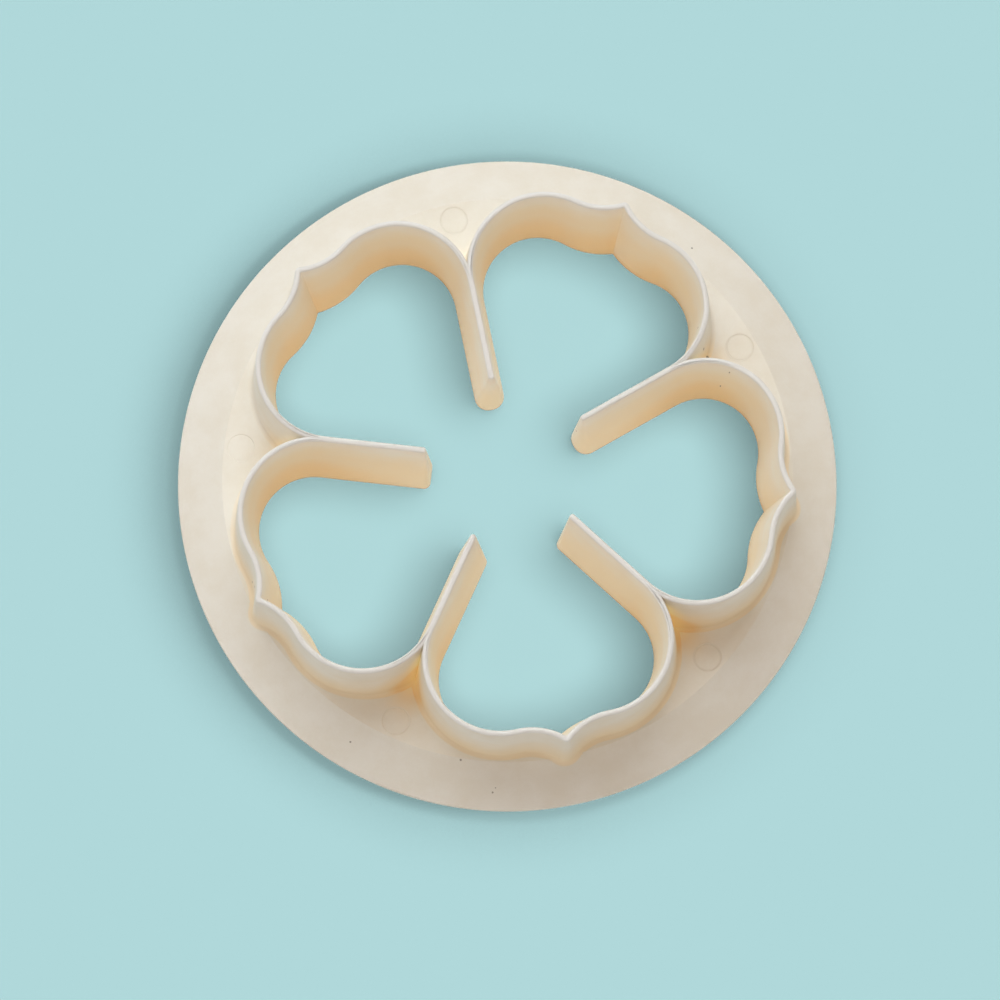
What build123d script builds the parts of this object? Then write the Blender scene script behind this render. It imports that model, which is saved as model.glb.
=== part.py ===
from build123d import *
from math import atan2, cos, degrees, hypot, radians, sin, sqrt, tan
import os

os.makedirs("parts", exist_ok=True)

# Five-petal flower cutter for rolled pastry, one plastic moulding, all sizes in millimetres.
# It lies on its round flange with the cutting edges up. Origin: centre of the base plane.
# +Z points up to the cutting edges, +Y runs along the first divider blade.

# Cutting walls, from the base plane to the cutting edge
petal_count = 5
height = 20.0
edge_t = 0.75
outer_draft = 4.3

# Opening of one petal at the cutting edge, along (u) and across (v) the petal's own axis
lobe_u = 26.3
lobe_v = 6.5
notch_r = 9.4
cusp_reach = 12.1

# How far the leaning inner faces move the same outline by the time they reach the base plane
foot_lobe_out = 0.5
foot_lobe_apart = 0.9
foot_notch_growth = 2.0
foot_cusp_back = 2.3
foot_blade_growth = 3.35

# Free inner ends of the divider blades
tip_r = 11.3
tip_lean = 0.6
tip_round_share = 0.4
foot_tip_round_share = 0.3

# Flat webs between the petals, and the flange that slopes from their crease down to the rim
web_top = 5.2
shell_t = 1.6
web_margin = 0.82
flange_w = 6.4
rim_edge_h = 1.2
rim_land = 1.6
rim_round = 0.4

# Round witness marks that the ejector pins leave on the webs
pin_mark_d = 3.9
pin_mark_inset = 2.35
pin_mark_depth = 0.15

# Worked out from the sizes above
half_pitch = 180.0 / petal_count
cusp_u = lobe_u + cusp_reach
blade_end = lobe_u * cos(radians(half_pitch)) + lobe_v * sin(radians(half_pitch))
lean = height * tan(radians(outer_draft))
foot_lobe = (lobe_u + foot_lobe_out, lobe_v + foot_lobe_apart)
foot_notch_r = notch_r + foot_notch_growth
foot_cusp_u = cusp_u - foot_cusp_back
foot_blade_t = edge_t + foot_blade_growth
foot_tip_r = tip_r - tip_lean
web_under = web_top - shell_t


def on_circle(centre, radius, angle):
    return (centre[0] + radius * cos(radians(angle)), centre[1] + radius * sin(radians(angle)))


def lobe_radius(lobe, blade_t):
    # The lobe's arc is tangent to the side of the divider blade beside it
    axis_distance = lobe[0] * sin(radians(half_pitch)) - lobe[1] * cos(radians(half_pitch))
    return axis_distance - blade_t / 2


# The crease runs round the lobes' outer faces, a little outside where they stand on the webs
lobe_reach = hypot(lobe_u, lobe_v) + lobe_radius((lobe_u, lobe_v), edge_t)
crease_r = lobe_reach + edge_t + lean * (height - web_top) / height + web_margin
rim_r = crease_r + flange_w
land_r = rim_r - rim_land
land_h = rim_edge_h + rim_land * (web_top - rim_edge_h) / flange_w
pin_mark_r = crease_r - pin_mark_inset


def notch_centre(lobe, lobe_r, notch, cusp):
    # The notch's arc touches the lobe's arc from outside and ends at the cusp
    gap = hypot(cusp - lobe[0], lobe[1])
    reach = lobe_r + notch
    along = (reach**2 - notch**2 + gap**2) / (2 * gap)
    across = sqrt(reach**2 - along**2)
    step_u = (cusp - lobe[0]) / gap
    step_v = -lobe[1] / gap
    return (lobe[0] + along * step_u - across * step_v, lobe[1] + along * step_v + across * step_u)


def petal_geometry(lobe, blade_t, notch, cusp):
    lobe_r = lobe_radius(lobe, blade_t)
    centre = notch_centre(lobe, lobe_r, notch, cusp)
    turn_angle = degrees(atan2(centre[1] - lobe[1], centre[0] - lobe[0]))
    cusp_angle = degrees(atan2(-centre[1], cusp - centre[0])) % 360
    return lobe_r, centre, turn_angle, cusp_angle


def opening_outline(lobe, blade_t, notch, cusp):
    # Inner face of one petal: blade side, lobe, notch, cusp, and the same again mirrored
    lobe_r, centre, turn_angle, cusp_angle = petal_geometry(lobe, blade_t, notch, cusp)
    side_angle = 90 + half_pitch
    start = (blade_t / 2 / sin(radians(half_pitch)), 0)
    tangent = on_circle(lobe, lobe_r, side_angle)
    lobe_mid = on_circle(lobe, lobe_r, (side_angle + turn_angle) / 2)
    turn = on_circle(lobe, lobe_r, turn_angle)
    notch_mid = on_circle(centre, notch, (turn_angle + 180 + cusp_angle) / 2)
    with BuildLine() as outline:
        Line(start, tangent)
        ThreePointArc(tangent, lobe_mid, turn)
        ThreePointArc(turn, notch_mid, (cusp, 0))
        mirror(about=Plane.XZ)
    return outline.line


def wall_outline(outset):
    # Outer face of one petal: the cutting edge's inner line moved outwards, closed at the centre
    lobe = (lobe_u, lobe_v)
    lobe_r, centre, turn_angle, cusp_angle = petal_geometry(lobe, edge_t, notch_r, cusp_u)
    outer_r = lobe_r + outset
    axis_gap = lobe_r + edge_t / 2
    crotch = blade_end + sqrt(outer_r**2 - axis_gap**2)
    crotch_point = on_circle((0, 0), crotch, half_pitch)
    crotch_angle = degrees(atan2(crotch_point[1] - lobe[1], crotch_point[0] - lobe[0]))
    inner_notch = notch_r - outset
    turn = on_circle(lobe, outer_r, turn_angle)
    cusp_side = on_circle(centre, inner_notch, cusp_angle)
    lobe_mid = on_circle(lobe, outer_r, (crotch_angle + turn_angle) / 2)
    notch_mid = on_circle(centre, inner_notch, (turn_angle + 180 + cusp_angle) / 2)
    with BuildLine() as outline:
        Line((0, 0), crotch_point)
        ThreePointArc(crotch_point, lobe_mid, turn)
        ThreePointArc(turn, notch_mid, cusp_side)
        mirror(about=Plane.XZ)
        ThreePointArc(cusp_side, (cusp_u + outset, 0), (cusp_side[0], -cusp_side[1]))
    return outline.line


# The through opening of one petal, drafted so that it narrows towards the base
with BuildPart() as petal_opening:
    with BuildSketch(Plane.XY):
        make_face(opening_outline(foot_lobe, foot_blade_t, foot_notch_r, foot_cusp_u))
    with BuildSketch(Plane.XY.offset(height)):
        make_face(opening_outline((lobe_u, lobe_v), edge_t, notch_r, cusp_u))
    loft(ruled=True)

# All that one petal's wall encloses, out to its leaning outer face
with BuildPart() as petal_body:
    with BuildSketch(Plane.XY):
        make_face(wall_outline(edge_t + lean))
    with BuildSketch(Plane.XY.offset(height)):
        make_face(wall_outline(edge_t))
    loft(ruled=True)

# The hollow under the webs and the flange, which stops at the wall's thinner skirt
with BuildPart() as underside:
    with BuildSketch(Plane.XZ):
        with BuildLine():
            Polyline((0, 0), (land_r, 0), (crease_r, web_under), (0, web_under), close=True)
        make_face()
    revolve(axis=Axis.Z)
    with BuildSketch(Plane.XY):
        make_face(wall_outline(edge_t))
    extrude(amount=web_under, mode=Mode.SUBTRACT)

# Petal walls: from one divider blade round the two lobes and the cusp to the next blade.
# Every pattern starts at +Y, 90 degrees round from +X, which is where the first blade points.
with BuildPart() as wall_pattern:
    add(petal_body.part)
    add(petal_opening.part, mode=Mode.SUBTRACT)
    add(underside.part, mode=Mode.SUBTRACT)
    for side in (-half_pitch, half_pitch):
        with BuildSketch(Plane.XY.rotated((0, 0, side))):
            Rectangle(blade_end, 2 * foot_blade_t, align=(Align.MIN, Align.CENTER))
        extrude(amount=height, mode=Mode.SUBTRACT)

for number, spot in enumerate(PolarLocations(0, petal_count, 90 + half_pitch).locations, 1):
    with BuildPart() as petal_wall:
        with Locations(spot):
            add(wall_pattern.part)
    petal_wall.part.label = f"petal_wall_{number}"
    export_step(petal_wall.part, f"parts/petal_wall_{number}.step")


def blade_outline(thickness, tip, round_share):
    # Plan of a divider blade: straight sides and a free end with rounded corners
    half = thickness / 2
    corner = thickness * round_share
    with BuildLine() as outline:
        Line((blade_end, -half), (tip + corner, -half))
        RadiusArc((tip + corner, -half), (tip, corner - half), corner)
        Line((tip, corner - half), (tip, half - corner))
        RadiusArc((tip, half - corner), (tip + corner, half), corner)
        Line((tip + corner, half), (blade_end, half))
        Line((blade_end, half), (blade_end, -half))
    return outline.line


# Divider blades: wedges between two petals, thick at the base and thin at the cutting edge
with BuildPart() as blade_pattern:
    with BuildSketch(Plane.XY):
        make_face(blade_outline(foot_blade_t, foot_tip_r, foot_tip_round_share))
    with BuildSketch(Plane.XY.offset(height)):
        make_face(blade_outline(edge_t, tip_r, tip_round_share))
    loft(ruled=True)

# Webs: flat plates between two petal walls, each with a round pin mark in its top face
with BuildPart() as web_pattern:
    with BuildSketch(Plane.XY.offset(web_under)):
        corner_low = on_circle((0, 0), crease_r, -half_pitch)
        corner_high = on_circle((0, 0), crease_r, half_pitch)
        with BuildLine():
            Line((0, 0), corner_low)
            ThreePointArc(corner_low, (crease_r, 0), corner_high)
            Line(corner_high, (0, 0))
        make_face()
    extrude(amount=shell_t)
    with Locations(Rotation(0, 0, -half_pitch), Rotation(0, 0, half_pitch)):
        add(petal_body.part, mode=Mode.SUBTRACT)
    with BuildSketch(Plane.XY.offset(web_top)):
        with Locations((pin_mark_r, 0)):
            Circle(pin_mark_d / 2)
    extrude(amount=-pin_mark_depth, mode=Mode.SUBTRACT)

for number, spot in enumerate(PolarLocations(0, petal_count, 90).locations, 1):
    with BuildPart() as divider_blade:
        with Locations(spot):
            add(blade_pattern.part)
    divider_blade.part.label = f"divider_blade_{number}"
    export_step(divider_blade.part, f"parts/divider_blade_{number}.step")

    with BuildPart() as web_plate:
        with Locations(spot):
            add(web_pattern.part)
    web_plate.part.label = f"web_plate_{number}"
    export_step(web_plate.part, f"parts/web_plate_{number}.step")

# Sloping flange: falls from the crease round the webs to the rim, cut where the cusps stand on it
with BuildPart() as sloping_flange:
    with BuildSketch(Plane.XZ):
        with BuildLine():
            Polyline(
                (crease_r, web_under), (land_r, 0), (land_r, land_h), (crease_r, web_top), close=True
            )
        make_face()
    revolve(axis=Axis.Z)
    with PolarLocations(0, petal_count, 90 + half_pitch):
        add(petal_body.part, mode=Mode.SUBTRACT)
sloping_flange.part.label = "sloping_flange"
export_step(sloping_flange.part, "parts/sloping_flange.step")

# Base rim: the ring that rests on the table, with a rounded outer edge
with BuildPart() as base_rim:
    with BuildSketch(Plane.XZ):
        with BuildLine():
            Polyline((land_r, 0), (rim_r, 0), (rim_r, rim_edge_h), (land_r, land_h), close=True)
        make_face()
    revolve(axis=Axis.Z)
    fillet(base_rim.edges().filter_by(GeomType.CIRCLE).group_by(SortBy.RADIUS)[-1], rim_round)
base_rim.part.label = "base_rim"
export_step(base_rim.part, "parts/base_rim.step")
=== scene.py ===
# %% [markdown]
# A flower cutter for rolled pastry: one ivory plastic moulding with five petals of thin wall,
# five blades between them, flat webs and a round sloping flange.
# The CAD model gives every size. Here its plain solids are dressed: the cutting edges get their
# small round, the walls run into the webs with a fillet, and the plastic gets its colour.

from math import acos, atan2, cos, degrees, hypot, pi, radians, sin, sqrt, tan

import bmesh
import bpy
from mathutils import Matrix, Vector


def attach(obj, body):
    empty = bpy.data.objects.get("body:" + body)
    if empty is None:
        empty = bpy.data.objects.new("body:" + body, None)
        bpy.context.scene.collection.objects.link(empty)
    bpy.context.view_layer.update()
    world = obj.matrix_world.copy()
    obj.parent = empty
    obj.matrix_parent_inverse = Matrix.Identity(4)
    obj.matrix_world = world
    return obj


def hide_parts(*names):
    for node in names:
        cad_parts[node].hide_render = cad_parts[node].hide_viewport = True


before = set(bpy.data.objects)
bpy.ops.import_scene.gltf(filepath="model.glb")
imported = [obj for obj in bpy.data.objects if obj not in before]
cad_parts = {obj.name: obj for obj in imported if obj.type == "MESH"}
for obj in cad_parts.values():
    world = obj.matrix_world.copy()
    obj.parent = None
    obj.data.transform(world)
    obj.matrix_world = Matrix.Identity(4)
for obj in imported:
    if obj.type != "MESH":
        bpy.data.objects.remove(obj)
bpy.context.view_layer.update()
bpy.ops.object.select_all(action="DESELECT")

# %% [markdown]
# Sizes. They repeat the sizes of the CAD source in millimetres, and MM turns them into Blender's
# metres at the last moment. A petal's outline is given twice, at the cutting edge and at the foot,
# because the inner faces lean so that the moulding can leave its mould.

# %% Sizes of the cutter
MM = 0.001
PETALS = 5
HALF_PITCH = radians(180 / PETALS)
HEIGHT = 20.0
EDGE_T = 0.75
DRAFT = tan(radians(4.3))
EDGE = {"lobe_u": 26.3, "lobe_v": 6.5, "blade_t": EDGE_T, "notch_r": 9.4, "cusp_u": 38.4}
FOOT = {"lobe_u": 26.8, "lobe_v": 7.4, "blade_t": 4.1, "notch_r": 11.4, "cusp_u": 36.1}

# Webs, flange and rim. The rim stays a hair inside the solid's own
WEB_TOP = 5.2
SHELL_T = 1.6
WEB_UNDER = WEB_TOP - SHELL_T
CREASE_R = 39.6
RIM_R = 45.99
RIM_EDGE_H = 1.2
RIM_LAND = 1.6
LAND_R = RIM_R - RIM_LAND
CONE_SLOPE = (WEB_TOP - RIM_EDGE_H) / (RIM_R - CREASE_R)
UNDER_SLOPE = WEB_UNDER / (LAND_R - CREASE_R)

# Free ends of the blades, and the small rounds that the solids do without
TIP_R = 11.3
TIP_LEAN = 0.6
EDGE_ROUND = 0.25
OUTER_ROUND = 0.38
FILLET = 0.55
APRON = 0.1
CUSP_FILLET = 0.2

# The picture shows the cutter turned by ROLL, and lit from the picture's far side
ROLL = 0.2022
LIGHT_TOWARD = radians(110) - ROLL
LIGHT_RISE = radians(30)
LIGHT = Vector((
    cos(LIGHT_TOWARD) * cos(LIGHT_RISE), sin(LIGHT_TOWARD) * cos(LIGHT_RISE), sin(LIGHT_RISE)
))


def on_circle(centre, radius, angle):
    return (centre[0] + radius * cos(angle), centre[1] + radius * sin(angle))


def mix(a, b, share):
    return a + (b - a) * share


print("blades every", degrees(2 * HALF_PITCH), "degrees, cutting edges", HEIGHT, "mm up")

# %% [markdown]
# The outline of a petal's opening is worked out from few numbers, as on paper: a straight blade
# side, a lobe's arc tangent to it, a notch's arc that touches the lobe from outside, and a cusp.
# The same construction works at any height, with the numbers mixed between foot and edge.

# %% Outline of one petal
def petal_at(height):
    share = height / HEIGHT
    size = {name: mix(FOOT[name], EDGE[name], share) for name in EDGE}
    lobe = (size["lobe_u"], size["lobe_v"])
    lobe_r = lobe[0] * sin(HALF_PITCH) - lobe[1] * cos(HALF_PITCH) - size["blade_t"] / 2
    gap = hypot(size["cusp_u"] - lobe[0], lobe[1])
    reach = lobe_r + size["notch_r"]
    along = (reach**2 - size["notch_r"] ** 2 + gap**2) / (2 * gap)
    across = sqrt(reach**2 - along**2)
    step = ((size["cusp_u"] - lobe[0]) / gap, -lobe[1] / gap)
    notch = (
        lobe[0] + along * step[0] - across * step[1],
        lobe[1] + along * step[1] + across * step[0],
    )
    turn = atan2(notch[1] - lobe[1], notch[0] - lobe[0])
    return {
        "lobe": lobe, "lobe_r": lobe_r, "notch": notch, "notch_r": size["notch_r"],
        "cusp_u": size["cusp_u"], "turn": turn, "blade_t": size["blade_t"],
    }


RING = petal_at(HEIGHT)
BLADE_END = RING["lobe"][0] * cos(HALF_PITCH) + RING["lobe"][1] * sin(HALF_PITCH)
SIDE = pi / 2 + HALF_PITCH
AXIS_GAP = RING["lobe_r"] + EDGE_T / 2
print("blades end", round(BLADE_END, 2), "mm out, lobe radius", round(RING["lobe_r"], 2), "mm")

# %% [markdown]
# Columns and rows. A wall is a strip of rows that follow its cross-section, wrapped round the
# petal in columns. Each column belongs to one stretch of the outline: the stretch behind the
# blade, the lobe, the notch, or the little round of the cusp.

# %% Points of the inner and outer faces
STRETCHES = {"crotch": 8, "lobe": 46, "notch": 14, "cusp": 6}
HALF_COLUMNS = sum(STRETCHES.values())


def place_on_stretch(column):
    for name, count in STRETCHES.items():
        if column <= count:
            return name, column / count
        column -= count


def crotch_turn(outset):
    # Angle round the lobe from the blade side to the line where two petals' outer faces meet
    return acos(min(1.0, AXIS_GAP / (RING["lobe_r"] + outset)))


def inner_point(column, height):
    petal = petal_at(height)
    name, share = place_on_stretch(column)
    tangent = petal["lobe"][0] * cos(HALF_PITCH) + petal["lobe"][1] * sin(HALF_PITCH)
    straight = tangent - BLADE_END
    mark = crotch_turn(EDGE_T)
    notch_reach = petal["notch_r"] + CUSP_FILLET
    cusp_centre_u = petal["notch"][0] - sqrt(notch_reach**2 - petal["notch"][1] ** 2)
    meet = atan2(-petal["notch"][1], cusp_centre_u - petal["notch"][0]) % (2 * pi)
    if name == "crotch":
        way = share * (straight + mark * petal["lobe_r"])
        if way < straight:
            side = (cos(HALF_PITCH) * (BLADE_END + way), sin(HALF_PITCH) * (BLADE_END + way))
            return on_circle(side, petal["blade_t"] / 2, HALF_PITCH - pi / 2)
        return on_circle(petal["lobe"], petal["lobe_r"], SIDE - (way - straight) / petal["lobe_r"])
    if name == "lobe":
        return on_circle(petal["lobe"], petal["lobe_r"], mix(SIDE - mark, petal["turn"], share))
    if name == "notch":
        return on_circle(petal["notch"], petal["notch_r"], mix(petal["turn"] + pi, meet, share))
    return on_circle((cusp_centre_u, 0.0), CUSP_FILLET, mix(meet - pi, 0.0, share))


def outer_point(column, outset):
    name, share = place_on_stretch(column)
    crotch = crotch_turn(outset)
    if name == "crotch":
        reach = mix(BLADE_END, BLADE_END + (RING["lobe_r"] + outset) * sin(crotch), share)
        return (reach * cos(HALF_PITCH), reach * sin(HALF_PITCH))
    if name == "lobe":
        return on_circle(RING["lobe"], RING["lobe_r"] + outset, mix(SIDE - crotch, RING["turn"], share))
    lean = atan2(RING["notch"][1], RING["notch"][0] - RING["cusp_u"])
    if name == "notch":
        angle = mix(RING["turn"] + pi, lean + pi, share)
        return on_circle(RING["notch"], RING["notch_r"] - outset, angle)
    return on_circle((RING["cusp_u"], 0.0), outset, lean * (1 - share))


def web_height(point):
    # The webs are flat out to the crease, and from there the flange falls away
    return WEB_TOP - max(0.0, hypot(*point) - CREASE_R) * CONE_SLOPE


def under_height(point):
    return max(0.0, WEB_UNDER - max(0.0, hypot(*point) - CREASE_R) * UNDER_SLOPE)


def outset_at(height):
    return EDGE_T + (HEIGHT - height) * DRAFT


print("columns round one petal:", 2 * HALF_COLUMNS + 1)

# %% [markdown]
# The rows of a wall, once round its cross-section: up the leaning inner face, over the rounded
# cutting edge, down the drafted outer face, through the fillet and out on the web, then down
# and back underneath along the skirt that reaches the table.
# A row is a face ("in" or "out"), how far out it lies, and its height. At the crotch the outer
# rows also need a height on the hidden face where two petals join, given last.

# %% Rows of the wall's cross-section
FACE_STEPS = 10
ROUND_STEPS = 4
FILLET_STEPS = 6
SKIRT_STEP = 0.4
TOE = outset_at(WEB_TOP)
APRON_OUT = TOE + FILLET + APRON
wall_rows = [
    ("in", 0.0, (HEIGHT - EDGE_ROUND) * step / FACE_STEPS, None) for step in range(FACE_STEPS + 1)
]
for step in range(1, ROUND_STEPS + 1):
    angle = pi / 2 * step / ROUND_STEPS
    height = HEIGHT - EDGE_ROUND * (1 - sin(angle))
    wall_rows.append(("in", EDGE_ROUND * (1 - cos(angle)), height, None))
for step in range(ROUND_STEPS + 1):
    angle = pi / 2 * step / ROUND_STEPS
    height = HEIGHT - OUTER_ROUND * (1 - cos(angle))
    wall_rows.append(("out", EDGE_T - OUTER_ROUND * (1 - sin(angle)), height, height))
for step in range(1, FACE_STEPS + 1):
    height = mix(HEIGHT - OUTER_ROUND, WEB_TOP + FILLET, step / FACE_STEPS)
    wall_rows.append(("out", outset_at(height), height, height))
for step in range(1, FILLET_STEPS + 1):
    angle = pi / 2 * step / FILLET_STEPS
    left = 1 - step / FILLET_STEPS
    outset = TOE + FILLET * (1 - cos(angle)) - FILLET * DRAFT * left
    wall_rows.append(("web", outset, FILLET * (1 - sin(angle)), WEB_TOP + FILLET * left))
wall_rows.append(("web", APRON_OUT, 0.0, WEB_TOP - SKIRT_STEP))
wall_rows.append(("under", APRON_OUT, 0.0, WEB_UNDER + SKIRT_STEP))
wall_rows.append(("under", EDGE_T, 0.0, WEB_UNDER - SKIRT_STEP))
wall_rows.append(("out", EDGE_T, 0.0, 0.0))


def wall_point(column, row):
    face, outset, height, hidden_height = wall_rows[row]
    half_column = min(column, 2 * HALF_COLUMNS - column)
    if face == "in":
        u, v = inner_point(half_column, height)
        if outset:
            # The rounded edge moves away from the inner face, towards the outer one
            far = outer_point(half_column, EDGE_T)
            length = hypot(far[0] - u, far[1] - v)
            u, v = mix(u, far[0], outset / length), mix(v, far[1], outset / length)
    else:
        u, v = outer_point(half_column, outset)
        if face == "web":
            height += web_height((u, v))
        if face == "under":
            height = under_height((u, v))
        name, share = place_on_stretch(half_column)
        if name == "crotch":
            height = mix(hidden_height, height, share)
    if column > HALF_COLUMNS:
        v = -v
    return Vector((u, v, height)) * MM


print("rows round the cross-section:", len(wall_rows))

# %% [markdown]
# How the plastic glows, row by row. Ivory plastic lets some light in, and it comes out warmer:
# tan on the leaning inner faces, orange at their feet, and pale at the thin cutting edge. It could
# be simulated as light under the surface, but that is slow, so this glow and the shade of the deep
# parts are painted: each row gets a painted warmth and a share of light, which the mesh keeps in its
# corners.

# %% The glow of each row
GLOW = ("warmth", "through", "inside")
FOOT_WARMTH = 1.1
WARMTH_FALL = 1.02
LAST_WARM_SHARE = 0.91
LEAST_THROUGH = 0.025
EDGE_THROUGH = 0.065
PALE_SHARE = 0.6
WHITE_BAND = 0.35
OUTER_FALL = 1.3
FILLET_WARMTH = 0.9
APRON_WARMTH = 0.65
WARM_FILLET_SHARE = 0.8


def inner_glow(height):
    # Painted warmth, painted light that comes through, and 1 for an inner face. Low down the painted
    # glow and shade are orange, and near the thin cutting edge more light comes through and stays pale
    share = height / HEIGHT
    fade = min(1.0, (HEIGHT - height) / WHITE_BAND)
    warmth = FOOT_WARMTH - WARMTH_FALL * min(share, LAST_WARM_SHARE) ** 2
    through = LEAST_THROUGH + EDGE_THROUGH * max(0.0, (share - PALE_SHARE) / (1 - PALE_SHARE))
    return warmth * fade, through * fade, 1.0


# Outer faces: painted glow and shade, warmer towards the foot and in the fillet, less on the apron
def wall_glow(column, row):
    face, outset, height = wall_rows[row][:3]
    if face == "in":
        return inner_glow(height)
    if face == "out" and height > WEB_TOP:
        return ((HEIGHT - height) / (HEIGHT - WEB_TOP)) ** OUTER_FALL, 0.0, 0.0
    if outset < TOE + FILLET * WARM_FILLET_SHARE:
        return FILLET_WARMTH, 0.0, 0.0
    return APRON_WARMTH, 0.0, 0.0


print("warmth of an inner face at its foot:", inner_glow(0.0)[0])

# %% [markdown]
# Helpers that do what a modeller's hands do: open edit mode, close the open ends, merge what
# meets, turn every face outwards, then smooth all but the sharp edges. A weighted-normal modifier
# keeps flat faces flat in their shading beside the small rounds.

# %% Helpers that make and finish a mesh
def edit_mesh(piece):
    bpy.ops.object.select_all(action="DESELECT")
    bpy.context.view_layer.objects.active = piece
    piece.select_set(True)
    bpy.ops.object.mode_set(mode="EDIT")
    bpy.ops.mesh.select_mode(type="VERT")
    return bmesh.from_edit_mesh(piece.data)


def close_and_smooth(piece, sharp=34, weld=0.002):
    edit_mesh(piece)
    bpy.ops.mesh.select_all(action="SELECT")
    bpy.ops.mesh.remove_doubles(threshold=weld * MM)
    bpy.ops.mesh.select_all(action="SELECT")
    bpy.ops.mesh.fill_holes(sides=0)
    bpy.ops.mesh.select_all(action="SELECT")
    bpy.ops.mesh.normals_make_consistent(inside=False)
    if bmesh.from_edit_mesh(piece.data).calc_volume(signed=True) < 0:
        # A negative volume means that the faces agree but look inwards
        bpy.ops.mesh.flip_normals()
    bpy.ops.object.mode_set(mode="OBJECT")
    bpy.ops.object.shade_smooth_by_angle(angle=radians(sharp))
    weighted = piece.modifiers.new("weighted", "WEIGHTED_NORMAL")
    weighted.keep_sharp = True
    bpy.ops.object.modifier_apply(modifier=weighted.name)
    piece.select_set(False)


def copy_round(pattern, name, turn):
    # A copy with its own mesh, turned about the cutter's axis
    piece = pattern.copy()
    piece.data = pattern.data.copy()
    bpy.context.scene.collection.objects.link(piece)
    piece.name = name
    piece.data.transform(Matrix.Rotation(turn, 4, "Z"))
    return piece


def sheet_of(name, columns, rows, place, glow):
    # A grid primitive whose corners are then moved, column by column and row by row,
    # and which remembers in each corner how the plastic glows there
    bpy.ops.mesh.primitive_grid_add(x_subdivisions=columns - 1, y_subdivisions=rows - 1, size=1)
    piece = bpy.context.object
    piece.name = name
    mesh = edit_mesh(piece)
    for layer in GLOW:
        mesh.verts.layers.float.new(layer)
    layers = [mesh.verts.layers.float[layer] for layer in GLOW]
    for corner in mesh.verts:
        column = round((corner.co.x + 0.5) * (columns - 1))
        row = round((corner.co.y + 0.5) * (rows - 1))
        corner.co = place(column, row)
        for layer, value in zip(layers, glow(column, row)):
            corner[layer] = value
    bmesh.update_edit_mesh(piece.data)
    bpy.ops.object.mode_set(mode="OBJECT")
    return piece


print("each corner remembers its", ", ".join(GLOW))

# %% [markdown]
# The glow depends on the light too. In the photo the faces that look towards the light, and the
# blades' ends round the open middle, are paler, and only the outer faces on the dark side have
# orange feet. All copies of a piece start alike, so this is worked out once each copy has been
# turned to its own place, corner by corner, from where the corner lies and which way it looks.

# %% Light and shade on the walls
FACING = (0.1, 0.7)
OPEN_MIDDLE = (25.0, 10.0)
DARK_SIDE = (28.0, -16.0)
DEEP_SHARE = 0.3
FACING_LOSS = 0.5
OPEN_LOSS = 0.3
FACING_THROUGH = 0.035
OPEN_THROUGH = 0.05
LEAST_WARMTH = 0.06
DARK_WARMTH = 0.6


def soft_step(value, start, end):
    share = min(1.0, max(0.0, (value - start) / (end - start)))
    return share * share * (3 - 2 * share)


def open_normals(mesh):
    # The way each corner looks, from the small faces alone: the hidden ends that butt against
    # another piece are large faces, and would tilt it there
    sums = [Vector() for corner in mesh.vertices]
    for face in mesh.polygons:
        if len(face.vertices) <= 4:
            for number in face.vertices:
                sums[number] += face.normal * face.area
    return [total.normalized() for total in sums]


def light_and_shade(piece):
    # Inner faces that look towards the light, or that stand near the open middle, stay paler.
    # Outer faces glow warm only on the side away from the light, and there most of all low down
    mesh = piece.data
    layers = [mesh.attributes[name].data for name in GLOW]
    for corner, normal, warmth, through, inside in zip(mesh.vertices, open_normals(mesh), *layers):
        if inside.value > 0.5:
            facing = soft_step((1 + normal.dot(LIGHT)) / 2, *FACING)
            open_air = soft_step(hypot(corner.co.x, corner.co.y) / MM, *OPEN_MIDDLE)
            deep = min(1.0, (1 - corner.co.z / MM / HEIGHT) / DEEP_SHARE)
            warmth.value *= (1 - FACING_LOSS * facing * deep) * (1 - OPEN_LOSS * open_air)
            through.value += (FACING_THROUGH * facing + OPEN_THROUGH * open_air) * deep
        else:
            dark = soft_step(corner.co.y / MM, *DARK_SIDE)
            warmth.value = LEAST_WARMTH + DARK_WARMTH * warmth.value * dark


print("the light stands", round(degrees(LIGHT_TOWARD)), "degrees round from the first axis")

# %% [markdown]
# Petal walls. The cutter's real work is done here: a leaning wall with a narrow, slightly
# rounded cutting edge. A grid is wrapped on the rows and columns above, its last row is welded
# to its first, and the two ends that butt against the blades are filled.
# One petal is made, and the others are copies turned by a fifth of a circle.

# %% Make the petal walls
ROWS = len(wall_rows)
pattern = sheet_of(
    "petal_pattern", 2 * HALF_COLUMNS + 1, ROWS + 1,
    lambda column, row: wall_point(column, row % ROWS),
    lambda column, row: wall_glow(column, row % ROWS),
)
close_and_smooth(pattern)
walls = []
for number in range(1, PETALS + 1):
    turn = pi / 2 + HALF_PITCH + (number - 1) * 2 * HALF_PITCH
    walls.append(copy_round(pattern, f"cutting_wall_{number}", turn))
    light_and_shade(walls[-1])
bpy.data.objects.remove(pattern)
print("faces in one wall:", len(walls[0].data.polygons))

# %% [markdown]
# Blades. Between two petals their walls run together into one wedge, thick at the foot and as
# thin as the cutting edge on top, with a free end near the middle of the flower. Rows of a
# rounded bar outline are stacked, and the outline's thickness and end follow the height.

# %% Make the divider blades
TIP_COLUMNS = 6
BLADE_COLUMNS = 2 * TIP_COLUMNS + 4
BLADE_STEPS = 8
BLADE_WELD = 0.0005
SAME_LEVEL = 1e-7

# How round the free ends are, as shares of the blade's thickness. The photo shows the feet of
# the first and the last blade rounder than the others
EDGE_TIP_SHARE = 0.45
FOOT_TIP_SHARES = (0.45, 0.22, 0.25, 0.22, 0.45)

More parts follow.
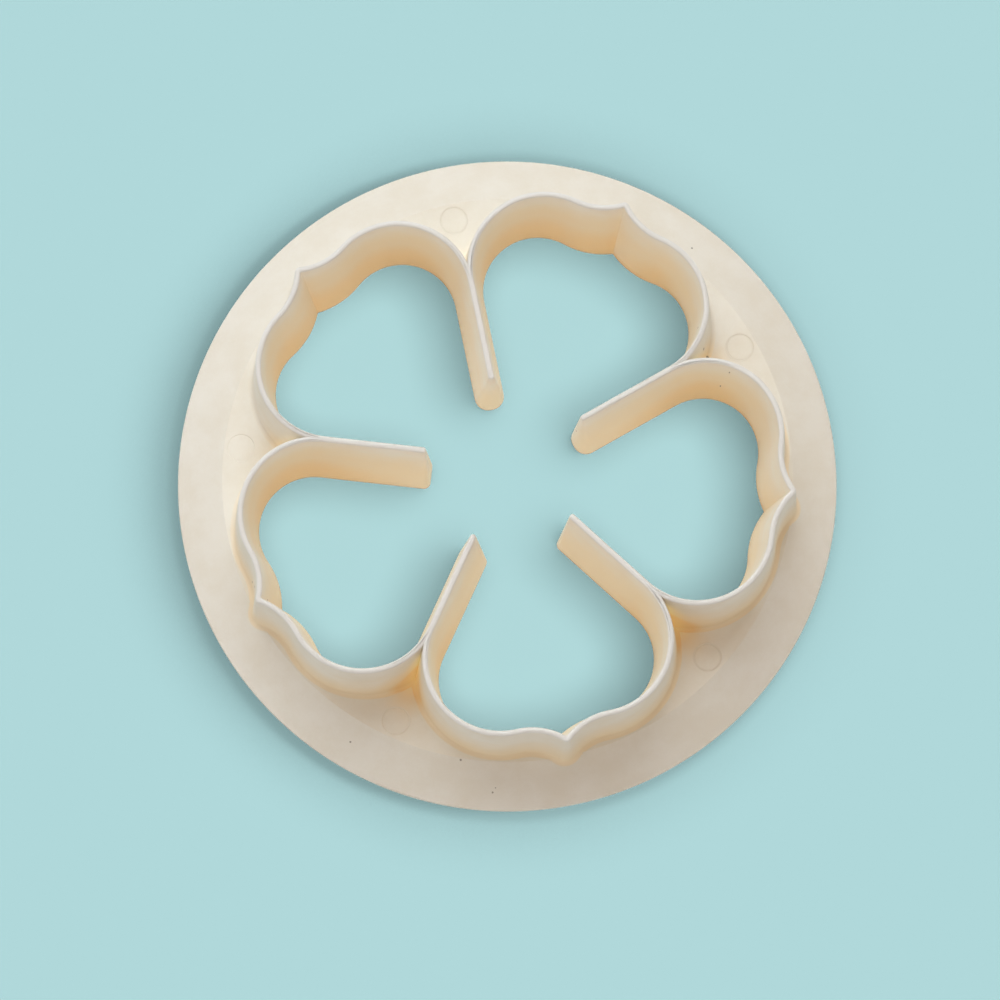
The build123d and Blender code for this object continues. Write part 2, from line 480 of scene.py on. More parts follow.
blade_rows = [((HEIGHT - EDGE_ROUND) * step / BLADE_STEPS, 0.0) for step in range(BLADE_STEPS + 1)]
for step in range(1, ROUND_STEPS + 1):
    angle = pi / 2 * step / ROUND_STEPS
    blade_rows.append((HEIGHT - EDGE_ROUND * (1 - sin(angle)), EDGE_ROUND * (1 - cos(angle))))


def blade_point(column, row, foot_share):
    height, inset = blade_rows[row]
    share = height / HEIGHT
    half = mix(FOOT["blade_t"], EDGE_T, share) / 2
    tip = TIP_R - TIP_LEAN * (1 - share) + inset
    corner = mix(foot_share * FOOT["blade_t"], EDGE_TIP_SHARE * EDGE_T, share) - inset
    half -= inset
    side = -1 if column < BLADE_COLUMNS / 2 else 1
    step = column if side < 0 else BLADE_COLUMNS - 1 - column
    if step == 0:
        return Vector((BLADE_END, side * half, height)) * MM
    angle = pi / 2 * (step - 1) / TIP_COLUMNS
    x = tip + corner - corner * sin(angle)
    y = half - corner + corner * cos(angle)
    return Vector((x, side * y, height)) * MM


def make_blade(name, foot_share):
    piece = sheet_of(
        name, BLADE_COLUMNS, len(blade_rows),
        lambda column, row: blade_point(column, row, foot_share),
        lambda column, row: inner_glow(blade_rows[row][0]),
    )
    edit_mesh(piece)
    bpy.ops.mesh.select_all(action="SELECT")
    bpy.ops.mesh.remove_doubles(threshold=BLADE_WELD * MM)
    mesh = bmesh.from_edit_mesh(piece.data)
    for level in (0.0, HEIGHT * MM):
        # The flat top and the flat foot are one face each, out to the end that meets the walls
        border = [
            edge for edge in mesh.edges
            if edge.is_boundary and all(abs(end.co.z - level) < SAME_LEVEL for end in edge.verts)
        ]
        bmesh.ops.contextual_create(mesh, geom=border)
    bmesh.update_edit_mesh(piece.data)
    bpy.ops.object.mode_set(mode="OBJECT")
    close_and_smooth(piece, weld=BLADE_WELD)
    return piece


blades = []
for number, foot_share in enumerate(FOOT_TIP_SHARES, 1):
    blade = make_blade(f"finger_blade_{number}", foot_share)
    blade.data.transform(Matrix.Rotation(pi / 2 + (number - 1) * 2 * HALF_PITCH, 4, "Z"))
    light_and_shade(blade)
    blades.append(blade)
print("faces in one blade:", len(blades[0].data.polygons))

# %% [markdown]
# Webs. Each flat plate fills the space between two petals and the crease. Its outline follows the
# walls' aprons exactly, so that no gap shows. A round pin mark, where the tool pushed the warm
# moulding out, is a shallow dish with a soft edge.

# %% Make the webs
PIN_D = 3.9
PIN_R = 37.25
PIN_SIDES = 64
RING_STEPS = 720
CUSP_AHEAD = 3
SAME_ANGLE = 1e-4
CLOSE_BY = 0.01

# The dish's edge goes down, then in, in three small steps, in millimetres
DISH_STEPS = ((0.04, 0.04), (0.04, 0.10), (-0.03, 0.16))


def apron_half():
    # The walls' edge on the web in blade coordinates, from the crotch to where it meets the crease
    points = []
    for column in range(STRETCHES["crotch"], HALF_COLUMNS + 1):
        u, v = outer_point(column, APRON_OUT)
        x = u * cos(HALF_PITCH) + v * sin(HALF_PITCH)
        y = v * cos(HALF_PITCH) - u * sin(HALF_PITCH)
        if hypot(x, y) >= CREASE_R and column > HALF_COLUMNS - STRETCHES["cusp"] - CUSP_AHEAD:
            last = points[-1]
            share = (CREASE_R - hypot(*last)) / (hypot(x, y) - hypot(*last))
            points.append((mix(last[0], x, share), mix(last[1], y, share)))
            return points
        points.append((x, y))
    return points


def select_border(piece, wanted):
    # Selects the open edges whose two ends both pass a test
    bpy.ops.mesh.select_all(action="DESELECT")
    mesh = bmesh.from_edit_mesh(piece.data)
    for edge in mesh.edges:
        if edge.is_boundary and all(wanted(corner.co) for corner in edge.verts):
            edge.select = True
            for corner in edge.verts:
                corner.select = True
    mesh.select_flush(False)
    bmesh.update_edit_mesh(piece.data)


web_side = apron_half()
crease_end = abs(atan2(web_side[-1][1], web_side[-1][0]))
crease_points = []
for step in range(1 - RING_STEPS // (2 * PETALS), RING_STEPS // (2 * PETALS)):
    angle = 2 * pi * step / RING_STEPS
    if abs(angle) < crease_end - SAME_ANGLE:
        crease_points.append(on_circle((0, 0), CREASE_R, angle))
web_outline = web_side + crease_points + [(x, -y) for x, y in reversed(web_side[1:])]

bpy.ops.mesh.primitive_circle_add(
    vertices=PIN_SIDES, radius=PIN_D / 2 * MM, location=(PIN_R * MM, 0, WEB_TOP * MM)
)
web_pattern = bpy.context.object
web_pattern.name = "web_pattern"
web_pattern.data.transform(Matrix.Translation(web_pattern.location))
web_pattern.location = (0, 0, 0)
mesh = edit_mesh(web_pattern)
corners = [mesh.verts.new(Vector((x, y, WEB_TOP)) * MM) for x, y in web_outline]
for corner, following in zip(corners, corners[1:] + corners[:1]):
    mesh.edges.new((corner, following))
bmesh.update_edit_mesh(web_pattern.data)
bpy.ops.mesh.select_all(action="SELECT")
bpy.ops.mesh.fill(use_beauty=True)
print("points of a web's outline:", len(web_outline))

# %% [markdown]
# The pin mark. An ejector pin left a shallow round dish here, made 0.05 mm deep. Cutting it with a
# boolean would leave a hard edge, so the ring that the web was filled round is extruded down and
# drawn inwards instead, as one would by hand, then closed.

# %% Sink the pin mark
for drop, inwards in DISH_STEPS:
    select_border(web_pattern, lambda at: hypot(at.x / MM - PIN_R, at.y / MM) < PIN_D / 2 + CLOSE_BY)
    bpy.ops.mesh.extrude_edges_move(TRANSFORM_OT_translate={"value": (0, 0, -drop * MM)})
    mesh = bmesh.from_edit_mesh(web_pattern.data)
    for corner in mesh.verts:
        if corner.select:
            arm = Vector((corner.co.x - PIN_R * MM, corner.co.y, 0))
            corner.co -= arm.normalized() * inwards * MM
    bmesh.update_edit_mesh(web_pattern.data)
bpy.ops.mesh.edge_face_add()
bpy.ops.object.mode_set(mode="OBJECT")
print("web faces:", len(web_pattern.data.polygons))

# %% [markdown]
# The web's thickness. The photo doesn't show the underside, so the web is taken as a plate of
# even thickness, open below, as in most mouldings. A Solidify modifier would also tilt the sides,
# which have to stay upright where they meet the walls, so the border is extruded straight down
# and the underside is filled flat. Then the plate is copied to its five places.

# %% Give the web its thickness
edit_mesh(web_pattern)
select_border(web_pattern, lambda at: True)
bpy.ops.mesh.extrude_edges_move(TRANSFORM_OT_translate={"value": (0, 0, -SHELL_T * MM)})
bpy.ops.mesh.fill(use_beauty=True)
bpy.ops.object.mode_set(mode="OBJECT")
close_and_smooth(web_pattern, sharp=25)
webs = []
for number in range(1, PETALS + 1):
    turn = pi / 2 + (number - 1) * 2 * HALF_PITCH
    webs.append(copy_round(web_pattern, f"flat_web_{number}", turn))
bpy.data.objects.remove(web_pattern)
print("webs:", [web.name for web in webs])

# %% [markdown]
# Flange and rim are turned shapes, so each is a profile spun about the cutter's axis. The ring of
# vertices at the crease is then pushed out in five places, round the feet of the cusps that stand
# on the slope.

# %% Spin the flange
CONE_RINGS = (41.2, 42.8)
CREASE_BAND = 0.3
SPIN_WELD = 0.001


def spin_profile(name, profile, steps):
    bpy.ops.mesh.primitive_plane_add(size=MM)
    piece = bpy.context.object
    piece.name = name
    mesh = edit_mesh(piece)
    bmesh.ops.delete(mesh, geom=list(mesh.verts), context="VERTS")
    corners = [mesh.verts.new(Vector((x, 0, z)) * MM) for x, z in profile]
    for corner, following in zip(corners, corners[1:] + corners[:1]):
        mesh.edges.new((corner, following))
    for corner in corners:
        corner.select = True
    mesh.select_flush(True)
    bmesh.update_edit_mesh(piece.data)
    bpy.ops.mesh.select_all(action="SELECT")
    bpy.ops.mesh.spin(steps=steps, angle=2 * pi, center=(0, 0, 0), axis=(0, 0, 1), dupli=False)
    bpy.ops.mesh.select_all(action="SELECT")
    bpy.ops.mesh.remove_doubles(threshold=SPIN_WELD * MM)
    bpy.ops.object.mode_set(mode="OBJECT")
    return piece


def cone_top(radius):
    return WEB_TOP - (radius - CREASE_R) * CONE_SLOPE


flange_profile = [(CREASE_R, WEB_UNDER)]
flange_profile += [(radius, cone_top(radius)) for radius in (CREASE_R, *CONE_RINGS, LAND_R)]
flange_profile += [(LAND_R, 0.0)]
flange = spin_profile("sloping_skirt", flange_profile, RING_STEPS)
mesh = edit_mesh(flange)
for corner in mesh.verts:
    radius = hypot(corner.co.x, corner.co.y) / MM
    if radius < CREASE_R + CREASE_BAND:
        angle = atan2(corner.co.y, corner.co.x) - pi / 2 - HALF_PITCH
        angle = (angle + HALF_PITCH) % (2 * HALF_PITCH) - HALF_PITCH
        room = APRON_OUT**2 - (RING["cusp_u"] * sin(angle)) ** 2
        reach = RING["cusp_u"] * cos(angle) + sqrt(max(0.0, room))
        if room > 0 and reach > CREASE_R:
            top = corner.co.z / MM > (WEB_TOP + WEB_UNDER) / 2
            corner.co *= reach * MM / hypot(corner.co.x, corner.co.y)
            corner.co.z = (cone_top(reach) if top else under_height((reach, 0.0))) * MM
bmesh.update_edit_mesh(flange.data)
bpy.ops.object.mode_set(mode="OBJECT")
close_and_smooth(flange, sharp=25)
print("flange faces:", len(flange.data.polygons))

# %% [markdown]
# The rim is the ring that the cutter rests on. Its outer edge is rounded above and below. The two
# rounds could be bevels, but as arcs in the profile they come out with the spin, at the very size
# of the solid's fillet.

# %% Spin the rim
RIM_ROUND = 0.4
RIM_STEPS = 6
TOP_ROUND_SHARE = 0.55


def rim_point(angle, centre_height):
    return (RIM_R - RIM_ROUND + RIM_ROUND * cos(angle), centre_height + RIM_ROUND * sin(angle))


rim_profile = [(LAND_R, 0.0), (LAND_R, cone_top(LAND_R))]
steepest = pi / 2 - atan2(CONE_SLOPE, 1.0)
for step in range(RIM_STEPS + 1):
    angle = steepest * (1 - step / RIM_STEPS)
    rim_profile.append(rim_point(angle, RIM_EDGE_H - RIM_ROUND * TOP_ROUND_SHARE))
for step in range(RIM_STEPS + 1):
    rim_profile.append(rim_point(-pi / 2 * step / RIM_STEPS, RIM_ROUND))
rim = spin_profile("resting_rim", rim_profile, RING_STEPS)
close_and_smooth(rim, sharp=40)
cutter = walls + blades + webs + [flange, rim]
print("rim faces:", len(rim.data.polygons), "pieces:", len(cutter))

# %% [markdown]
# Node wires. A material could be clicked together node by node, but its sums are easier to read
# as sums. One small class wraps a socket, so that arithmetic on it adds Math nodes, and one method
# adds any other node.

# %% A socket that understands arithmetic
class Wire:
    tree = None

    def __init__(self, socket):
        self.socket = socket

    @classmethod
    def node(cls, kind, settings, sockets, out=0):
        # Any node: its type, its settings, which are set first, and the values or links of its sockets
        made = cls.tree.nodes.new(kind)
        for name, value in settings.items():
            setattr(made, name, value)
        for name, value in sockets.items():
            if isinstance(value, Wire):
                cls.tree.links.new(value.socket, made.inputs[name])
            else:
                made.inputs[name].default_value = value
        return cls(made.outputs[out])

    def calc(self, operation, first, second=0.0, third=0.0):
        return Wire.node("ShaderNodeMath", {"operation": operation}, {0: first, 1: second, 2: third})

    def __add__(self, other):
        return self.calc("ADD", self, other)

    __radd__ = __add__

    def __mul__(self, other):
        return self.calc("MULTIPLY", self, other)

    __rmul__ = __mul__

    def __sub__(self, other):
        return self.calc("SUBTRACT", self, other)

    def __rsub__(self, other):
        return self.calc("SUBTRACT", other, self)

    def __truediv__(self, other):
        return self.calc("DIVIDE", self, other)

    def __pow__(self, other):
        return self.calc("POWER", self, other)


def blend(share, first, second, kind="MIX"):
    return Wire.node(
        "ShaderNodeMix", {"data_type": "RGBA", "blend_type": kind},
        {"Factor": share, "A": first, "B": second}, out=2,
    )


def smooth(value, start, end):
    # 0 at start, 1 at end, with soft shoulders
    return Wire.node(
        "ShaderNodeMapRange", {"interpolation_type": "SMOOTHSTEP"},
        {"Value": value, "From Min": start, "From Max": end},
    )


print("operators of a wire:", [name for name in vars(Wire) if name.startswith("__r")])

# %% [markdown]
# Ivory plastic: a satin, slightly waxy moulding. Light that enters it comes out warmer, so the
# inner faces, the fillets and above all the narrow corners where two petals meet look tan to
# orange, while faces in the open stay ivory. That tan and orange is painted glow and shade, and a
# warmth from 0 to 1 drives it. The walls and blades carry it in their corners, and the corner glow
# is worked out from the position, folded into one fifth of the circle, so that webs and walls agree
# where they meet. The corners are painted warmest on the side away from the light.

# %% Where the plastic glows
ivory = bpy.data.materials.new("ivory_plastic")
ivory.use_nodes = True
Wire.tree = ivory.node_tree
shader = ivory.node_tree.nodes["Principled BSDF"]
spot = Wire.node("ShaderNodeTexCoord", {}, {}, out="Object")
in_mm = Wire.node("ShaderNodeVectorMath", {"operation": "SCALE"}, {0: spot, "Scale": 1 / MM})
axis = {name: Wire.node("ShaderNodeSeparateXYZ", {}, {0: in_mm}, out=name) for name in "XYZ"}
warm, through, inside = (
    Wire.node("ShaderNodeAttribute", {"attribute_name": name}, {}, out="Fac") for name in GLOW
)
turn = axis["X"].calc("ARCTAN2", axis["Y"], axis["X"]) - pi / 2
folded = turn.calc("WRAP", turn, HALF_PITCH, -HALF_PITCH)
radius = turn.calc("SQRT", axis["X"] * axis["X"] + axis["Y"] * axis["Y"])
along = radius * turn.calc("COSINE", folded)
across = radius * turn.calc("SINE", folded)


def distance_from(middle, stretch=1.0):
    # Seen from above, how far a point is from a place on the line between two petals
    away = along - middle
    return away.calc("SQRT", away * away * stretch + across * across)


CROTCH_R = 30.6
CROTCH_STRETCH = 0.45
CROTCH_REACH = 5.5
CROTCH_HEIGHTS = (17.0, 5.5)
CROTCH_RADII = (22.0, 30.5)
SHADED_SIDE = (28.0, -14.0)
SHADED_SIDE_TURN = 0.2
SHADED_SIDE_GLOW = 0.66
LIT_SIDE_GLOW = 0.1
INSIDE_LOSS = 0.8
corner_glow = smooth(distance_from(CROTCH_R, CROTCH_STRETCH), CROTCH_REACH, 0.0)
corner_glow = corner_glow * smooth(axis["Z"], *CROTCH_HEIGHTS) * smooth(along, *CROTCH_RADII)
# Painted shade: the corners glow most on the side away from the light
shaded_side = smooth(axis["Y"] - axis["X"] * SHADED_SIDE_TURN, *SHADED_SIDE)
warmth = warm + corner_glow * (shaded_side * SHADED_SIDE_GLOW + LIT_SIDE_GLOW) * (1 - inside * INSIDE_LOSS)
print("the corners glow most", CROTCH_R, "mm from the middle")

# %% [markdown]
# The line where two petals' outer faces meet. The photo shows it brighter and warmer than the
# faces beside it. It could be modelled as a fillet, but the corner looks sharp, so the line is
# only light. It leans outwards on its way down.

# %% The glowing line in each corner
LINE_TOP_R = 27.9
LINE_LEAN = 0.197
LINE_REACH = 3.0
LINE_HEIGHTS = (19.0, 15.0)
LINE_WARMTH = 0.35
MOST_WARMTH = 1.15
line_r = (HEIGHT - axis["Z"]) * LINE_LEAN + LINE_TOP_R
line_glow = smooth(distance_from(line_r), LINE_REACH, 0.0) * smooth(axis["Z"], *LINE_HEIGHTS)
line_glow = line_glow * (1 - inside)
warmth = warmth + line_glow * shaded_side * LINE_WARMTH
warmth = warmth.calc("MINIMUM", warmth, MOST_WARMTH)
print("the line starts", LINE_TOP_R, "mm out at the top")

# %% [markdown]
# The plastic's colour. It is a little cloudy, so two noises vary it: a wide one and a fine one.
# Over that the painted warmth blends in tan and then orange, the painted glow and shade. The cutting
# edges are so thin that they look white, and that pale light through them is painted too. A fine
# brown line of painted shade runs along the inner feet. An image could hold all this, but a noise has
# no seams and no end.

# %% The plastic's colour
IVORY_PALE = (0.92, 0.86, 0.76, 1)
IVORY_DEEP = (0.875, 0.80, 0.68, 1)
TAN = (0.98, 0.79, 0.53, 1)
ORANGE = (0.985, 0.68, 0.33, 1)
EDGE_WHITE = (0.87, 0.83, 0.775, 1)
FOOT_SHADE_LINE = (0.80, 0.50, 0.24, 1)
MOTTLE_SHARE = 0.8
CLOUDY = (0.32, 0.68)
TAN_WARMTH = (0.0, 0.75)
ORANGE_WARMTH = (0.75, 1.1)
EDGE_HEIGHTS = (19.5, 19.85)
FOOT_HEIGHTS = (0.8, 0.1)
FOOT_SHADE_LINE_SHARE = 0.6
MOTTLE_SWAY = 0.25
GRAIN_SWAY = 0.1


def noise(scale, detail, roughness):
    return Wire.node(
        "ShaderNodeTexNoise", {},
        {"Vector": in_mm, "Scale": scale, "Detail": detail, "Roughness": roughness}, out="Fac",
    )


mottle = noise(scale=0.16, detail=4.0, roughness=0.6)
grain = noise(scale=2.4, detail=3.0, roughness=0.7)
cloudy = smooth(mottle * MOTTLE_SHARE + grain * (1 - MOTTLE_SHARE), *CLOUDY)
colour = blend(cloudy, IVORY_PALE, IVORY_DEEP)
colour = blend(smooth(warmth + (mottle - 0.5) * MOTTLE_SWAY, *TAN_WARMTH), colour, TAN)
colour = blend(smooth(warmth + (grain - 0.5) * GRAIN_SWAY, *ORANGE_WARMTH), colour, ORANGE)
# Painted paleness of the light through the thin cutting edges
colour = blend(smooth(axis["Z"], *EDGE_HEIGHTS), colour, EDGE_WHITE)
# Painted shade: a brown line along the inner feet, where the walls stand on the table
colour = blend(smooth(axis["Z"], *FOOT_HEIGHTS) * inside * FOOT_SHADE_LINE_SHARE, colour, FOOT_SHADE_LINE)
print("nodes of the plastic so far:", len(ivory.node_tree.nodes))

# %% [markdown]
# The pin marks' soft rims are a little darker, a painted shade in the dish's rim. In the photo
# they show best on the right and hardly at all on the left, so the painted shade grows from one
# side to the other. It follows the same circle as the modelled dish, so that the two can't drift apart.

# %% Shade round the pin marks
PIN_SHADE = (0.62, 0.53, 0.40, 1)
PIN_SHADE_SHARE = 0.2
PIN_RING_INSET = 0.1
PIN_RING_WIDTHS = (0.28, 0.04)
ABOVE_WEB_FACE = (4.9, 5.0)
BELOW_WEB_FACE = (5.4, 5.3)
PIN_SHADE_SIDE = (-40.0, 20.0)
from_pin = distance_from(PIN_R)
from_ring = turn.calc("ABSOLUTE", from_pin - (PIN_D / 2 - PIN_RING_INSET))
pin_shade_ring = smooth(from_ring, *PIN_RING_WIDTHS)
pin_shade_ring = pin_shade_ring * smooth(axis["Z"], *ABOVE_WEB_FACE) * smooth(axis["Z"], *BELOW_WEB_FACE)
pin_shade_side = smooth(axis["X"], *PIN_SHADE_SIDE)
# Painted shade in the pin marks' rims, stronger towards one side
colour = blend(pin_shade_ring * pin_shade_side * PIN_SHADE_SHARE, colour, PIN_SHADE)
print("pin marks:", PETALS, "of", PIN_D, "mm")

# %% [markdown]
# A few dark specks sit in the corners and on the flange. They could be small meshes, but dirt has
# no thickness, so each is a ball of dark colour at a chosen point of the surface, given in
# millimetres with its radius. Heights count for a quarter only, so that a speck on a steep wall
# is a short upright streak.

# %% Dark specks
SPECK = (0.16, 0.10, 0.05, 1)
SPECK_SHARE = 0.75
SPECK_BLUR = 0.15
RIM_OF_SPECK = 1.25
CORE_OF_SPECK = 0.45
RELIEF_SHARE = 0.25
SPECKS = [
    ((31.99, 26.99, 3.79), 0.15), ((29.46, 13.73, 14.2), 0.15), ((29.78, 10.97, 12.4), 0.19),
    ((30.71, 10.99, 5.31), 0.24), ((10.35, 3.72, 9.74), 0.12), ((-37.47, -7.68, 7.96), 0.17),
    ((-37.15, -9.0, 12.0), 0.18), ((-28.63, -31.53, 3.33), 0.15), ((-14.26, -37.2, 5.05), 0.17),
    ((-10.81, -42.25, 2.7), 0.14), ((-10.31, -41.75, 3.07), 0.1), ((32.12, 6.25, 16.84), 0.12),
    ((31.33, 6.14, 8.35), 0.1), ((-35.78, -11.41, 13.9), 0.1),
]
dirt = 0.0
low_relief = Wire.node(
    "ShaderNodeVectorMath", {"operation": "MULTIPLY"}, {0: in_mm, 1: (1, 1, RELIEF_SHARE)}
)
for (x, y, z), size in SPECKS:
    distance = Wire.node(
        "ShaderNodeVectorMath", {"operation": "DISTANCE"},
        {0: low_relief, 1: (x, y, z * RELIEF_SHARE)}, out="Value",
    )
    distance = distance + (grain - 0.5) * SPECK_BLUR
    dirt = smooth(distance, size * RIM_OF_SPECK, size * CORE_OF_SPECK) + dirt
colour = blend(dirt * SPECK_SHARE, colour, SPECK)
print("specks:", len(SPECKS))

# %% [markdown]
# Gloss and surface. A moulding like this has a satin face with faint waves, so the roughness
# varies a little and a weak bump follows the same two noises. The light
# that comes through the plastic is added as a faint emission: subsurface scattering would be the
# other way, but it is lost in the export.

# %% Gloss and surface
ivory.node_tree.links.new(colour.socket, shader.inputs["Base Color"])
LIT_LINE = (0.14, 0.115, 0.07, 1)
SHADED_LINE = (0.075, 0.08, 0.035, 1)
SATIN = 0.40
GRAIN_ROUGHNESS = 0.12
MOTTLE_ROUGHNESS = 0.1
SPECULAR = 0.45
WAVE_DEPTH = 0.06
WAVE_STRENGTH = 0.35
GRAIN_DEPTH_SHARE = 0.12
glow = blend(through, (0, 0, 0, 1), colour)
glow = blend(line_glow, glow, blend(shaded_side, LIT_LINE, SHADED_LINE), "ADD")
ivory.node_tree.links.new(glow.socket, shader.inputs["Emission Color"])
shader.inputs["Emission Strength"].default_value = 1
rough = SATIN + grain * GRAIN_ROUGHNESS + (mottle - 0.5) * MOTTLE_ROUGHNESS
ivory.node_tree.links.new(rough.socket, shader.inputs["Roughness"])
shader.inputs["Specular IOR Level"].default_value = SPECULAR
waves = Wire.node(
    "ShaderNodeBump", {},
    {
        "Height": mottle + grain * GRAIN_DEPTH_SHARE,
        "Strength": WAVE_STRENGTH,
        "Distance": WAVE_DEPTH * MM,
    },
    out="Normal",
)
ivory.node_tree.links.new(waves.socket, shader.inputs["Normal"])
for piece in cutter:
    piece.data.materials.clear()
    piece.data.materials.append(ivory)
print("nodes of the plastic:", len(ivory.node_tree.nodes))

# %% [markdown]
# Each dressed piece takes the place of one solid of the CAD model and rides on the same body. The
# real cutter is one moulding, so all of them ride on the root and have the one material.

# %% Hand every piece to the frame
for number in range(PETALS):
    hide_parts(f"petal_wall_{number + 1}")
    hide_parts(f"divider_blade_{number + 1}")
    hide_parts(f"web_plate_{number + 1}")
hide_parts("sloping_flange")
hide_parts("base_rim")
for piece in cutter:
    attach(piece, "root")
print("pieces handed over:", len(cutter))

# %% [markdown]
# The floor is plain and pale. Its two lamps are made further down, and here its colour is divided
# by their light, so that open floor comes out as the photo's backdrop. Light that bounces off it
# on to the cutter is more neutral, so two colours are used, one for what is seen and one for the
# bounce. Round the rim a contact shade, found by ambient occlusion, stands for the broad light of
# a studio that no single lamp gives. It is weaker on the picture's right.

# %% Floor
BACKDROP = (0.434, 0.687, 0.701)
FLOOR_BOUNCE = (0.76, 0.72, 0.67)
HIGH_LIGHT = 11.0
LOW_LIGHT = 2.8
CONTACT_REACH = 10.0
CONTACT_SHADE = 1.15
CONTACT_FALL = 0.7
CONTACT_MOST = 0.34
CONTACT_BAND = 3.0
RIGHT_LOSS = 0.65
FLOOR_SIZE = 4
FLOOR_GAP = 0.05
SKY = (0.51, 0.455, 0.42)
SKY_LEAN = (0.22, 0.30, 0.38)
floor_light = [HIGH_LIGHT + LOW_LIGHT + channel for channel in SKY]


def paint(channels):
    return tuple(channels) + (1,)


def seen_plainly():
    # 1 for the camera's own rays, and for those it sends on through a gloss or a clear body
    path = {name: Wire.node("ShaderNodeLightPath", {}, {}, out=f"Is {name} Ray")
            for name in ("Camera", "Glossy", "Transmission")}
    either = path["Camera"] + path["Glossy"] + path["Transmission"]
    return either.calc("MINIMUM", either, 1.0)


bpy.ops.mesh.primitive_plane_add(size=FLOOR_SIZE, location=(0, 0, -FLOOR_GAP * MM))
floor = bpy.context.object
floor.name = "floor"
paper = bpy.data.materials.new("paper_floor")
paper.use_nodes = True
Wire.tree = paper.node_tree
seen = seen_plainly()
tone = blend(
    seen,
    paint(tint / light for tint, light in zip(FLOOR_BOUNCE, floor_light)),
    paint(tint / light for tint, light in zip(BACKDROP, floor_light)),
)
paper_shader = paper.node_tree.nodes["Principled BSDF"]
contact = Wire.node(
    "ShaderNodeAmbientOcclusion", {"samples": 8}, {"Distance": CONTACT_REACH * MM}, out="AO"
)
place = Wire.node("ShaderNodeTexCoord", {}, {}, out="Object")
from_middle = Wire.node("ShaderNodeVectorMath", {"operation": "LENGTH"}, {0: place}, out="Value")
rightwards = Wire.node(
    "ShaderNodeVectorMath", {"operation": "DOT_PRODUCT"},
    {0: place, 1: (cos(ROLL), -sin(ROLL), 0.0)}, out="Value",
)
outside = smooth(from_middle, (RIM_R - CONTACT_BAND) * MM, RIM_R * MM)
on_right = smooth(rightwards / from_middle, 0.0, 1.0)
shade = (1 - contact) ** CONTACT_FALL * outside * (1 - on_right * RIGHT_LOSS) * CONTACT_SHADE
shade = shade.calc("MINIMUM", shade, CONTACT_MOST)
tone = blend(shade * seen, tone, (0, 0, 0, 1))
paper.node_tree.links.new(tone.socket, paper_shader.inputs["Base Color"])
paper_shader.inputs["Roughness"].default_value = 1
paper_shader.inputs["Specular IOR Level"].default_value = 0
floor.data.materials.append(paper)
print("floor light:", [round(channel, 3) for channel in floor_light])

# %% [markdown]
# The sky stands for the studio's walls. A photograph of a room could light the scene, but a plain
# slope of colour is enough for a dull plastic: it is brighter and cooler on the picture's left,
# and the camera sees the backdrop's own colour instead of it.

# %% Sky
world = bpy.data.worlds.new("studio")
bpy.context.scene.world = world
world.use_nodes = True
Wire.tree = world.node_tree
seen = seen_plainly()
look = Wire.node("ShaderNodeTexCoord", {}, {}, out="Generated")
SKY_TOWARD = radians(195) - ROLL
leaning = Wire.node(
    "ShaderNodeVectorMath", {"operation": "DOT_PRODUCT"},
    {0: look, 1: (cos(SKY_TOWARD), sin(SKY_TOWARD), 0.0)}, out="Value",
)
sky = blend(
    leaning * 0.5 + 0.5,
    paint(channel * (1 - lean) for channel, lean in zip(SKY, SKY_LEAN)),
    paint(channel * (1 + lean) for channel, lean in zip(SKY, SKY_LEAN)),
)
sky = blend(seen, sky, paint(BACKDROP))
world.node_tree.links.new(sky.socket, world.node_tree.nodes["Background"].inputs["Color"])
print("sky at its mean:", SKY)

# %% [markdown]
# The lamps. The cutter gets one soft cool key from the far side. The floor has two lamps of its
# own, which the cutter doesn't receive, because in the photo its shadows don't follow the key: a
# high one draws short soft shadows in the openings, and a low one from the right draws the rim's.
# Rim and flange cast none from the high lamp, as that would be a hard dark line round the rim.

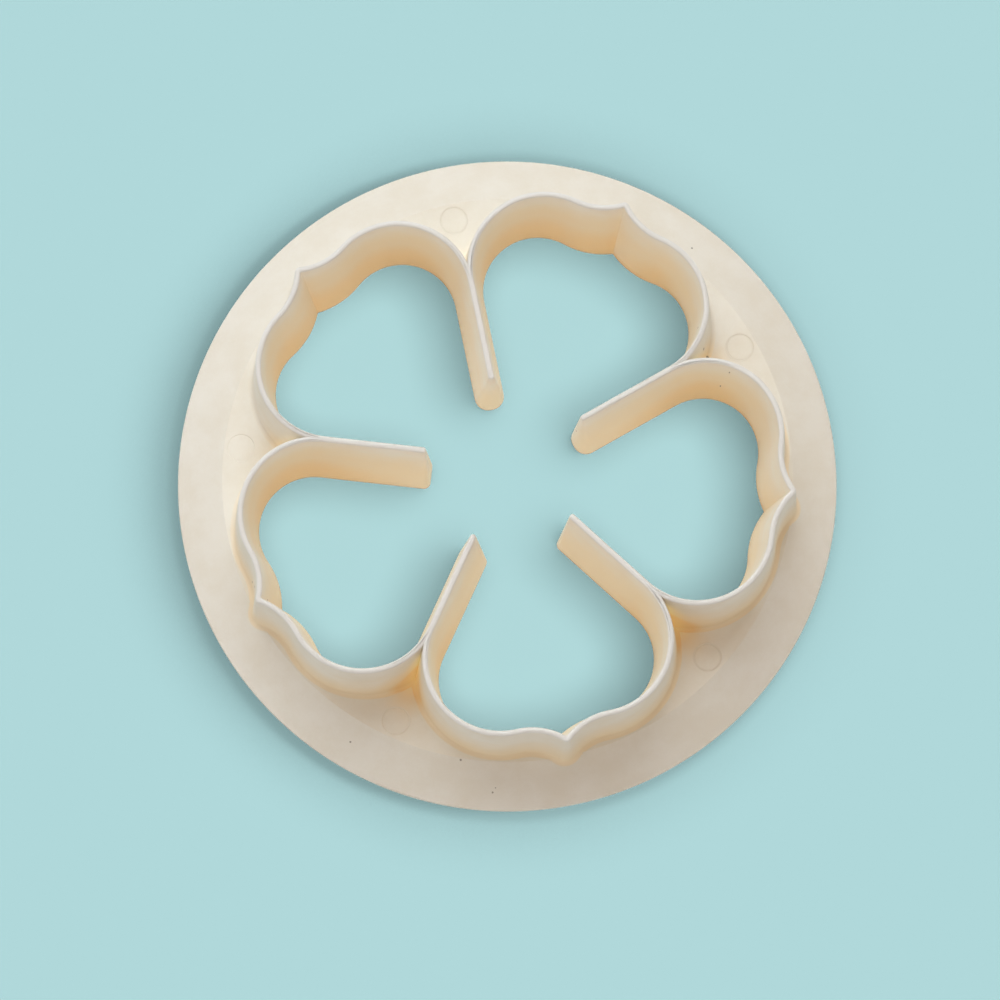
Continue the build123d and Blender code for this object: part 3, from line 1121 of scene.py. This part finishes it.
# %% Lamps
def sun(name, strength, colour, softness, toward, rise, lit, casting=None):
    # A distant soft lamp. toward is where it stands in the picture, counted from the right
    lamp = bpy.data.objects.new(name, bpy.data.lights.new(name, "SUN"))
    bpy.context.scene.collection.objects.link(lamp)
    lamp.data.energy = strength * pi
    lamp.data.color = colour
    lamp.data.angle = radians(softness)
    turn = radians(toward) - ROLL
    aim = Vector((cos(turn) * cos(radians(rise)), sin(turn) * cos(radians(rise)), sin(radians(rise))))
    lamp.matrix_world = aim.to_track_quat("Z", "Y").to_matrix().to_4x4()
    lamp.light_linking.receiver_collection = bpy.data.collections.new(name + "_lights")
    for piece in lit:
        lamp.light_linking.receiver_collection.objects.link(piece)
    if casting:
        lamp.light_linking.blocker_collection = bpy.data.collections.new(name + "_shadows")
        for piece in casting:
            lamp.light_linking.blocker_collection.objects.link(piece)


HIGH_RISE = 82
LOW_RISE = 18
HIGH_STRENGTH = HIGH_LIGHT / sin(radians(HIGH_RISE))
LOW_STRENGTH = LOW_LIGHT / sin(radians(LOW_RISE))
KEY_STRENGTH = 0.46
KEY_COLOUR = (0.89, 1.0, 1.07)
WHITE = (1, 1, 1)
sun("soft_key", KEY_STRENGTH, KEY_COLOUR, softness=40, toward=100, rise=55, lit=cutter)
sun(
    "high_lamp", HIGH_STRENGTH, WHITE, softness=42, toward=-2, rise=HIGH_RISE, lit=[floor],
    casting=walls + blades + webs,
)
sun(
    "low_lamp", LOW_STRENGTH, WHITE, softness=24, toward=0, rise=LOW_RISE, lit=[floor], casting=[rim]
)

# %% [markdown]
# The camera was found by fitting the cutter's own outlines to the photo: almost overhead, tipped
# by TILT, and with a long lens. It could be placed by eye, but then no edge would lie on its own.

# %% Camera
TILT = -0.161
SIDEWAYS = 0.007
SHIFT = Vector((1.029, 2.301, -603.2)) * MM
LENS = 155.2
SENSOR = 36
to_camera = Matrix.Rotation(SIDEWAYS, 3, "Y") @ Matrix.Rotation(TILT, 3, "X")
to_camera = to_camera @ Matrix.Rotation(ROLL, 3, "Z")
camera = bpy.data.objects.new("photo_camera", bpy.data.cameras.new("photo_camera"))
bpy.context.scene.collection.objects.link(camera)
camera.data.lens = LENS
camera.data.sensor_width = SENSOR
from_camera = to_camera.transposed()
camera.matrix_world = Matrix.Translation(-(from_camera @ SHIFT)) @ from_camera.to_4x4()
bpy.context.scene.camera = camera
print("camera height in metres:", round(camera.matrix_world.translation.z, 3))

# %% [markdown]
# Last, colours are shown through the Standard view transform.

# %% Show colours plainly
bpy.context.scene.view_settings.view_transform = "Standard"
